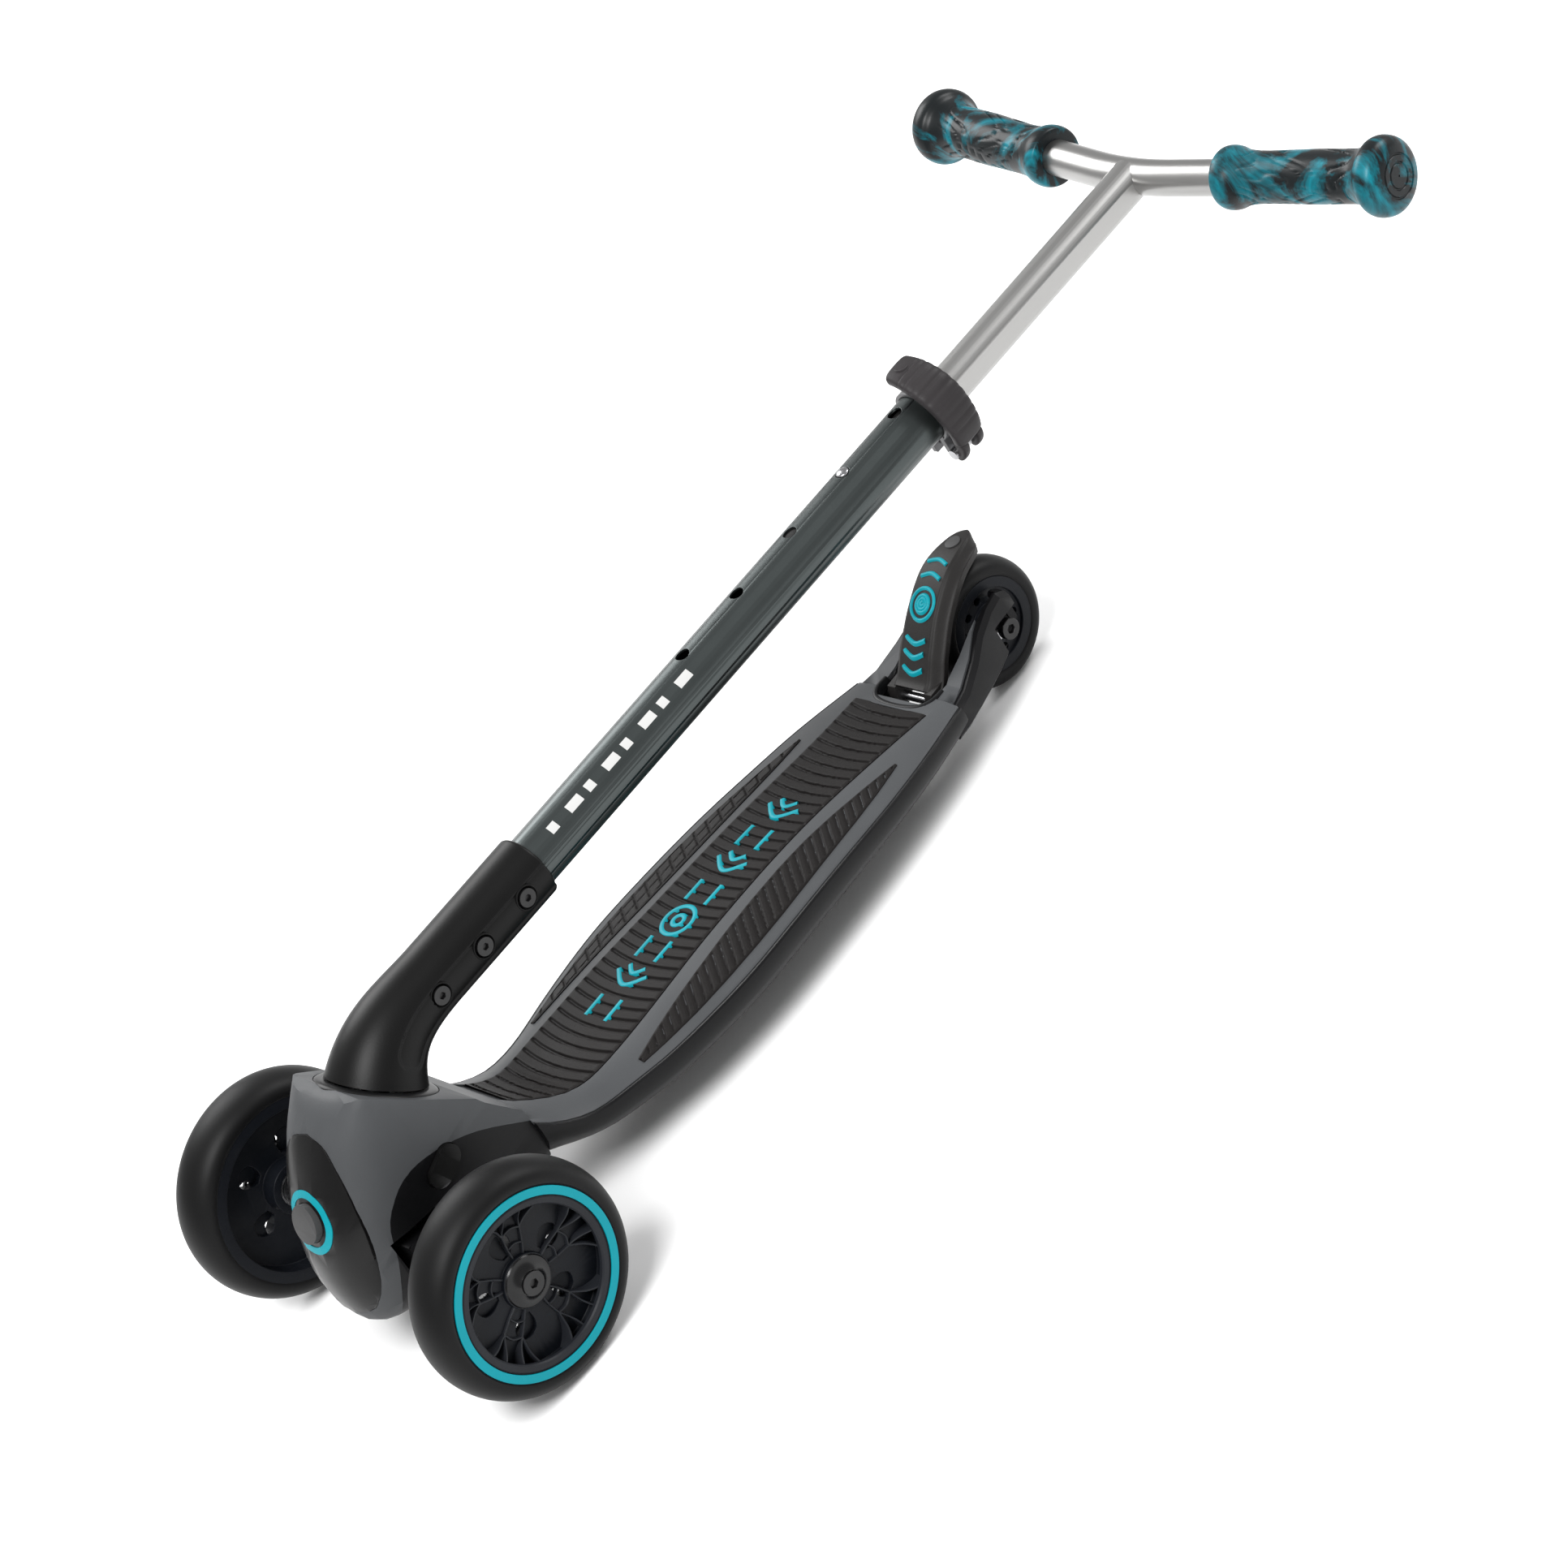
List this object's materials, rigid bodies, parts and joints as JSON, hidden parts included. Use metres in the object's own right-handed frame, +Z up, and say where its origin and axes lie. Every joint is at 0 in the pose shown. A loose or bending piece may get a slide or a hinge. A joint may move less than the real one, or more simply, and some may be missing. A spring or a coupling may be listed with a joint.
{
  "type": "folding three-wheel kick scooter",
  "caption": "Lean-to-steer kick scooter, folded: T-bar turned down over a ribbed deck, front wheels beside the nose, rear wheel in a fork under a curved foot brake.",
  "frame": {"origin": "on the ground under the middle of the bounding box, in the middle plane", "axes": "+X to the rider's left, +Y rearward along the deck, +Z up; the scooter stands on its wheels with the T-bar folded"},
  "size_m": [0.4098, 0.8823, 0.2059],
  "materials": {
    "frame_black": "satin moulded",
    "shell_grey": "soft satin",
    "mat": "ribbed",
    "badge": "semi-gloss",
    "teal": "satin",
    "button_grey": "satin",
    "bezel": "satin",
    "zinc": "cast",
    "steel": "turned",
    "bolt_black": "black oxide",
    "spring": "wire",
    "tyre": "matt urethane",
    "core": "satin",
    "brake": "satin",
    "stem_black": "satin",
    "tube_grey": "metallic",
    "silver": "satin anodised",
    "band": "satin",
    "lever": "satin ribbed",
    "grip": "marbled",
    "bush": "slick"
  },
  "bodies": {
    "chassis": {"deck_frame": "frame_black", "deck_shell": "shell_grey", "nose_shell": "shell_grey", "centre_mat": "mat", "side_mat_left": "mat", "side_mat_right": "mat", "nose_badge": "badge", "badge_ring": "teal", "collar_bezel": "bezel", "fold_housing": "zinc", "truck_beam": "frame_black", "kingpins": "steel", "centring_spring": "spring", "underside_screws": "steel", "fold_button_spring": "spring", "rear_axle": "bolt_black", "brake_pin": "steel", "brake_spring": "spring"},
    "stem": {"stem_base": "stem_black", "pivot_shaft": "steel", "pivot_nut": "steel", "stem_bolts": "bolt_black", "stem_nuts": "bolt_black", "outer_tube": "tube_grey", "top_bushing": "bush", "clamp_band": "band", "clamp_bolt": "steel", "lever_barrel": "steel"},
    "lever": {"clamp_lever": "lever"},
    "handle": {"inner_tube": "silver", "handlebar": "silver", "grip_left": "grip", "grip_right": "grip", "lower_bushing": "bush", "snap_spring": "spring"},
    "snap_button": {"snap_button": "steel"},
    "steering_lock": {"steering_lock_button": "button_grey"},
    "fold_button": {"fold_button": "stem_black"},
    "knuckle_left": {"knuckle_left": "frame_black", "axle_bolt_left": "bolt_black"},
    "knuckle_right": {"knuckle_right": "frame_black", "axle_bolt_right": "bolt_black"},
    "tie_rod": {"tie_rod": "steel"},
    "wheel_left": {"front_tyre_left": "tyre", "front_core_left": "core", "front_ring_left": "teal", "front_bearings_left": "steel"},
    "wheel_right": {"front_tyre_right": "tyre", "front_core_right": "core", "front_ring_right": "teal", "front_bearings_right": "steel"},
    "rear_wheel": {"rear_tyre": "tyre", "rear_core": "core", "rear_bearings": "steel"},
    "brake": {"brake_lever": "brake", "brake_inlay": "teal", "brake_cap": "button_grey"}
  },
  "joints": [
    {"name": "fold_turn", "type": "hinge", "parent": "chassis", "child": "stem", "pos_m": [0, -0.33171, 0.144], "axis": [0, 0.7071, 0.7071], "range_deg": [0, 180]},
    {"name": "tbar_height", "type": "slide", "parent": "stem", "child": "handle", "axis": [0, 0.9999, 0.014], "range_m": [-0.15, 0.05], "deforming": ["snap_button", "snap_spring"]},
    {"name": "snap_press", "type": "slide", "parent": "handle", "child": "snap_button", "axis": [0, 0.014, -0.9999], "range_m": [0, 0.005], "stiffness_N_per_m": 300, "springref_m": -0.002, "deforming": ["snap_spring"]},
    {"name": "clamp_open", "type": "hinge", "parent": "stem", "child": "lever", "pos_m": [0.0156, 0.19038, 0.14681], "axis": [0, 0.9999, 0.014], "range_deg": [0, 115]},
    {"name": "steering_lock", "type": "slide", "parent": "chassis", "child": "steering_lock", "axis": [0, 0.8829, -0.4695], "range_m": [0, 0.004], "stiffness_N_per_m": 400, "springref_m": -0.003},
    {"name": "fold_button_press", "type": "slide", "parent": "chassis", "child": "fold_button", "axis": [-1, 0, 0], "range_m": [0, 0.004], "stiffness_N_per_m": 500, "springref_m": -0.003, "deforming": ["fold_button_spring"]},
    {"name": "steer_left", "type": "hinge", "parent": "chassis", "child": "knuckle_left", "pos_m": [0.072, -0.37321, 0.068], "axis": [0, -0.342, 0.9397], "range_deg": [-12, 12], "stiffness_Nm_per_rad": 6, "deforming": ["centring_spring"]},
    {"name": "steer_right", "type": "hinge", "parent": "chassis", "child": "knuckle_right", "pos_m": [-0.072, -0.37321, 0.068], "axis": [0, -0.342, 0.9397], "range_deg": [-12, 12]},
    {"name": "tie_rod_turn", "type": "hinge", "parent": "knuckle_left", "child": "tie_rod", "pos_m": [0.072, -0.34433, 0.07638], "axis": [0, -0.342, 0.9397], "range_deg": [-12, 12]},
    {"name": "wheel_left_spin", "type": "hinge", "parent": "knuckle_left", "child": "wheel_left", "pos_m": [0.114, -0.37321, 0.068], "axis": [1, 0, 0], "continuous": true},
    {"name": "wheel_right_spin", "type": "hinge", "parent": "knuckle_right", "child": "wheel_right", "pos_m": [-0.114, -0.37321, 0.068], "axis": [1, 0, 0], "continuous": true},
    {"name": "rear_wheel_spin", "type": "hinge", "parent": "chassis", "child": "rear_wheel", "pos_m": [0, 0.14379, 0.041], "axis": [1, 0, 0], "continuous": true},
    {"name": "brake_press", "type": "hinge", "parent": "chassis", "child": "brake", "pos_m": [0, 0.08179, 0.038], "axis": [-1, 0, 0], "range_deg": [0, 3], "stiffness_Nm_per_rad": 5, "springref_deg": -3.44}
  ],
  "couplings": [
    {"joint": "steer_right", "follows": "steer_left", "ratio": 1},
    {"joint": "tie_rod_turn", "follows": "steer_left", "ratio": -1}
  ]
}
